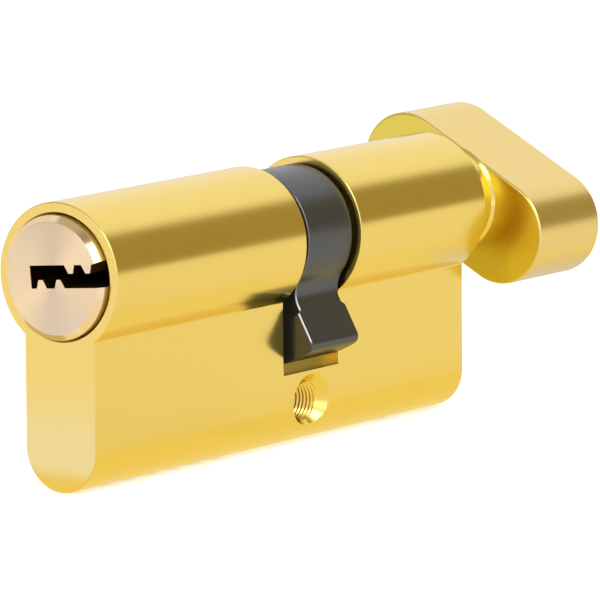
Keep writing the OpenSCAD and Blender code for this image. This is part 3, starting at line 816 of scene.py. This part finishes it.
def make_floor():
    """A plain pale floor just under the web, large enough to fill the view. The metal mirrors it a
    little warm, and in zones, in metres, with painted light and painted shadow near the brass: X runs
    to the thumbturn and -Y to the front."""
    size, gap = 4.0, 0.02
    z = (WEB_BOTTOM - gap + AXIS_Z) * MM
    mesh = bpy.data.meshes.new("floor")
    corners = [(-size, -size, z), (size, -size, z), (size, size, z), (-size, size, z)]
    mesh.from_pydata(corners, [], [(0, 1, 2, 3)])
    floor = new_object("floor", mesh)
    material = bpy.data.materials.new("pale_floor")
    material.use_nodes = True
    tree = material.node_tree
    tree.nodes.clear()
    parts = add(tree, "ShaderNodeSeparateXYZ", inputs={"Vector": object_place(tree)})
    x, y = parts.outputs["X"], parts.outputs["Y"]

    painted_floor_reflection = layered(tree, (1.0, 0.92, 0.86, 1), [
        # painted bounce light from the brass, under and behind it
        ([(y, -0.038, -0.006)], (1.0, 0.85, 0.44)),
        # bluish, far in front
        ([(y, -0.1, -0.13), (x, 0.06, 0.04)], (1.35, 1.3, 2.1)),
        # dull, past the knob
        ([(x, 0.045, 0.052), (y, -0.018, -0.008)], (0.85, 0.79, 0.78)),
        # painted warm bounce light, past the key end and in front
        ([(x, -0.042, -0.06), (y, -0.004, -0.009)], (1.02, 0.86, 0.68)),
        # painted shadow with painted warm bounce, close behind the key end
        ([(x, -0.047, -0.044), (x, -0.024, -0.03), (y, 0.006, 0.01), (y, 0.052, 0.038)],
         (0.68, 0.53, 0.21)),
        # bluish, close past the key end
        ([(x, -0.0475, -0.0505), (y, -0.003, 0.0), (y, 0.055, 0.03)], (1.0, 1.04, 1.65)),
        # pale, far past the key end
        ([(x, -0.068, -0.09)], (1.04, 0.98, 1.0))])
    ray = add(tree, "ShaderNodeLightPath")
    lift = add(tree, "ShaderNodeMath", {"operation": "MULTIPLY"}, {
        0: ray.outputs["Is Camera Ray"], 1: 0.5})
    paper = add(tree, "ShaderNodeBsdfDiffuse", inputs={"Color": (0.9, 0.9, 0.9, 1)})
    glow = add(tree, "ShaderNodeEmission", inputs={
        "Color": (1, 1, 1, 1), "Strength": lift.outputs[0]})
    seen = add(tree, "ShaderNodeAddShader", inputs={0: paper.outputs[0], 1: glow.outputs[0]})
    # what the metal mirrors: the floor as a painted reflection, with painted bounce light and painted
    # shadow near the brass
    painted_mirror_emission = add(tree, "ShaderNodeEmission", inputs={"Color": painted_floor_reflection, "Strength": 1.0})
    both = add(tree, "ShaderNodeMixShader", inputs={
        0: ray.outputs["Is Glossy Ray"], 1: seen.outputs[0], 2: painted_mirror_emission.outputs[0]})
    add(tree, "ShaderNodeOutputMaterial", inputs={"Surface": both.outputs[0]})
    mesh.materials.append(material)


def make_world():
    """White to the camera. To the metal it is a pale studio in zones of direction: X to the thumbturn,
    -Y to the front and Z up."""
    world = bpy.data.worlds.new("studio")
    bpy.context.scene.world = world
    world.use_nodes = True
    tree = world.node_tree
    tree.nodes.clear()
    direction = add(tree, "ShaderNodeTexCoord").outputs["Generated"]
    parts = add(tree, "ShaderNodeSeparateXYZ", inputs={"Vector": direction})
    x, y, z = (parts.outputs[axis] for axis in "XYZ")

    def slanted(value, slope):
        """Z raised by the slope along another axis, for an edge that isn't level."""
        return add(tree, "ShaderNodeMath", {"operation": "MULTIPLY_ADD"}, {
            0: value, 1: slope, 2: z}).outputs[0]

    light = layered(tree, (0.93, 0.88, 0.92, 1), [
        # pale overhead
        ([(z, 0.0, 0.4)], (1.03, 0.99, 1.03)),
        # a warm wall behind
        ([(x, 0.45, 0.35), (y, 0.55, 0.7), (z, -0.05, 0.1)], (0.9, 0.84, 0.77)),
        # a dark flag in front, past the knob
        ([(z, -0.02, 0.06), (slanted(x, 1.2), 1.5382, 1.4382), (y, 0.0, -0.2), (x, 0.3, 0.5)],
         (0.39, 0.32, 0.16)),
        # a dark wall behind, past the key end
        ([(x, -0.35, -0.5), (y, 0.47, 0.53), (z, 0.0, 0.08)], (0.27, 0.28, 0.24)),
        # a dull ceiling over the key end
        ([(slanted(y, -0.083), 0.7, 0.73), (x, 0.3, 0.1), (y, -0.5, -0.35)], (0.52, 0.52, 0.5)),
        # darker in two steps, and lower, farther past the key end
        ([(x, -0.4, -0.44), (z, 0.58, 0.62), (y, -0.32, -0.26)], (0.56, 0.49, 0.38)),
        ([(x, -0.63, -0.7), (z, 0.58, 0.62), (y, -0.32, -0.26)], (0.36, 0.29, 0.18)),
        # a softbox past the key end
        ([(x, -0.7, -0.74), (y, 0.28, 0.22), (y, -0.6, -0.5), (z, 0.24, 0.3), (z, 0.62, 0.6)],
         (2.0, 2.0, 2.1)),
        # the key light, high in front
        ([(x, -0.4, -0.3), (x, 0.2, 0.1), (y, -0.45, -0.55), (z, 0.55, 0.62)], (5.0, 5.0, 5.0)),
        # a second softbox, in front of the key end
        ([(x, -0.9, -0.85), (x, -0.45, -0.5), (y, -0.85, -0.8), (y, -0.5, -0.55), (z, 0.0, 0.08),
          (z, 0.5, 0.42)], (2.2, 2.2, 2.2))])
    ray = add(tree, "ShaderNodeLightPath")
    seen = add(tree, "ShaderNodeMix", {"data_type": "RGBA"}, {
        "Factor": ray.outputs["Is Camera Ray"], "A": light, "B": (1, 1, 1, 1)})
    back = add(tree, "ShaderNodeBackground", inputs={
        "Color": seen.outputs["Result"], "Strength": 1.0})
    add(tree, "ShaderNodeOutputWorld", inputs={"Surface": back.outputs[0]})


def make_camera():
    """A long lens from the key end's front, a little above."""
    data = bpy.data.cameras.new("camera")
    camera = new_object("camera", data)
    place = Vector((-618.94, -473.61, 135.84)) * MM
    right = Vector((0.60388, -0.79704, -0.00808))
    up = Vector((0.13036, 0.08876, 0.98749))
    back = Vector((-0.78635, -0.59737, 0.15750))
    turn = Matrix((right, up, back)).transposed().to_4x4()
    camera.matrix_world = Matrix.Translation(place) @ turn
    data.sensor_width = 36
    data.lens = 406.93
    data.clip_start, data.clip_end = 0.05, 20
    bpy.context.scene.camera = camera


make_floor()
make_world()
make_camera()
bpy.context.scene.view_settings.view_transform = "Standard"
